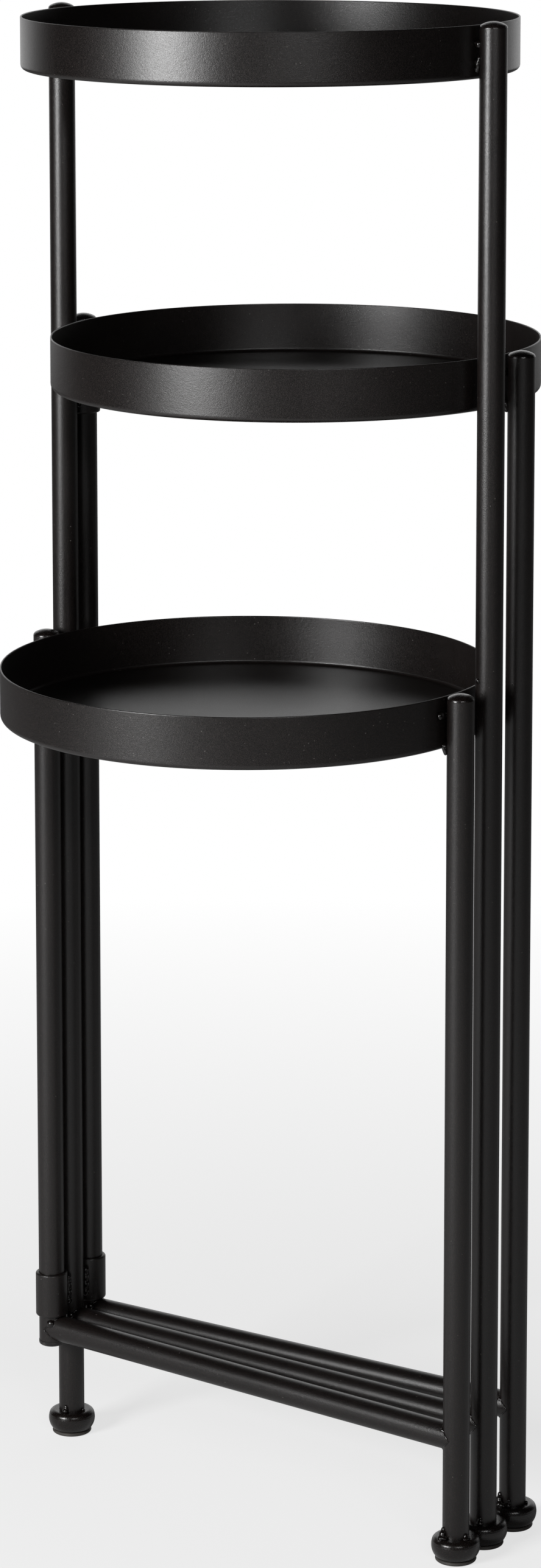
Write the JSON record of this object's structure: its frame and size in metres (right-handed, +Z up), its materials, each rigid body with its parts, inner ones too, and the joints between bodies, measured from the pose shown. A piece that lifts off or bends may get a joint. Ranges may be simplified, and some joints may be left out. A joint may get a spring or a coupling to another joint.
{
  "type": "folding plant stand",
  "caption": "Folding black steel plant stand: round rimmed trays on narrow ladder frames, side frames swing on one hub leg.",
  "frame": {"origin": "on the floor at the middle of the bounding box of the folded stand", "axes": "+Z up; +X from the hub leg towards the tall post; the low tray's frame lies on the -Y side and the middle tray's frame on the +Y side"},
  "size_m": [0.3396, 0.3438, 0.9072],
  "materials": {
    "painted_tube": "satin black powder coat with a fine orange-peel texture",
    "painted_tray": "satin black powder coat with a fine orange-peel texture",
    "painted_cap": "satin black powder coat with a fine orange-peel texture",
    "painted_foot": "satin black powder coat with a fine orange-peel texture",
    "painted_sleeve": "satin black powder coat with a fine orange-peel texture",
    "painted_weld": "satin black powder coat with a fine orange-peel texture",
    "glide_plastic": "dull dark grey-brown moulded plastic",
    "plug_plastic": "dull black moulded plastic"
  },
  "bodies": {
    "tall_frame": {"hub_leg": "painted_tube", "tall_post": "painted_tube", "tall_rail": "painted_tube", "top_tray": "painted_tray", "hub_leg_cap": "painted_cap", "tall_post_cap": "painted_cap", "hub_foot": "painted_foot", "tall_foot": "painted_foot", "hub_glide": "glide_plastic", "tall_glide": "glide_plastic", "front_lower_sleeve": "painted_sleeve", "front_upper_sleeve": "painted_sleeve", "rear_lower_sleeve": "painted_sleeve", "rear_upper_sleeve": "painted_sleeve", "sleeve_welds": "painted_weld", "top_tray_welds": "painted_weld", "tall_rail_welds": "painted_weld", "tall_foot_welds": "painted_weld", "tall_post_bead": "painted_weld"},
    "front_frame": {"front_hinge_post": "painted_tube", "front_post": "painted_tube", "front_rail": "painted_tube", "low_tray": "painted_tray", "front_hinge_cap": "painted_cap", "front_post_cap": "painted_cap", "front_end_plug": "plug_plastic", "front_foot": "painted_foot", "front_glide": "glide_plastic", "low_tray_welds": "painted_weld", "front_rail_welds": "painted_weld", "front_foot_welds": "painted_weld"},
    "rear_frame": {"rear_hinge_post": "painted_tube", "rear_post": "painted_tube", "rear_rail": "painted_tube", "middle_tray": "painted_tray", "rear_hinge_cap": "painted_cap", "rear_post_cap": "painted_cap", "rear_end_plug": "plug_plastic", "rear_foot": "painted_foot", "rear_glide": "glide_plastic", "middle_tray_welds": "painted_weld", "rear_rail_welds": "painted_weld", "rear_foot_welds": "painted_weld"}
  },
  "joints": [
    {"name": "front_hinge", "type": "hinge", "parent": "tall_frame", "child": "front_frame", "pos_m": [-0.1552, -0.02048, 0.285], "axis": [0, 0, -1], "range_deg": [0, 178]},
    {"name": "rear_hinge", "type": "hinge", "parent": "tall_frame", "child": "rear_frame", "pos_m": [-0.1552, 0.01872, 0.38], "axis": [0, 0, 1], "range_deg": [-0.6, 177.3]}
  ]
}
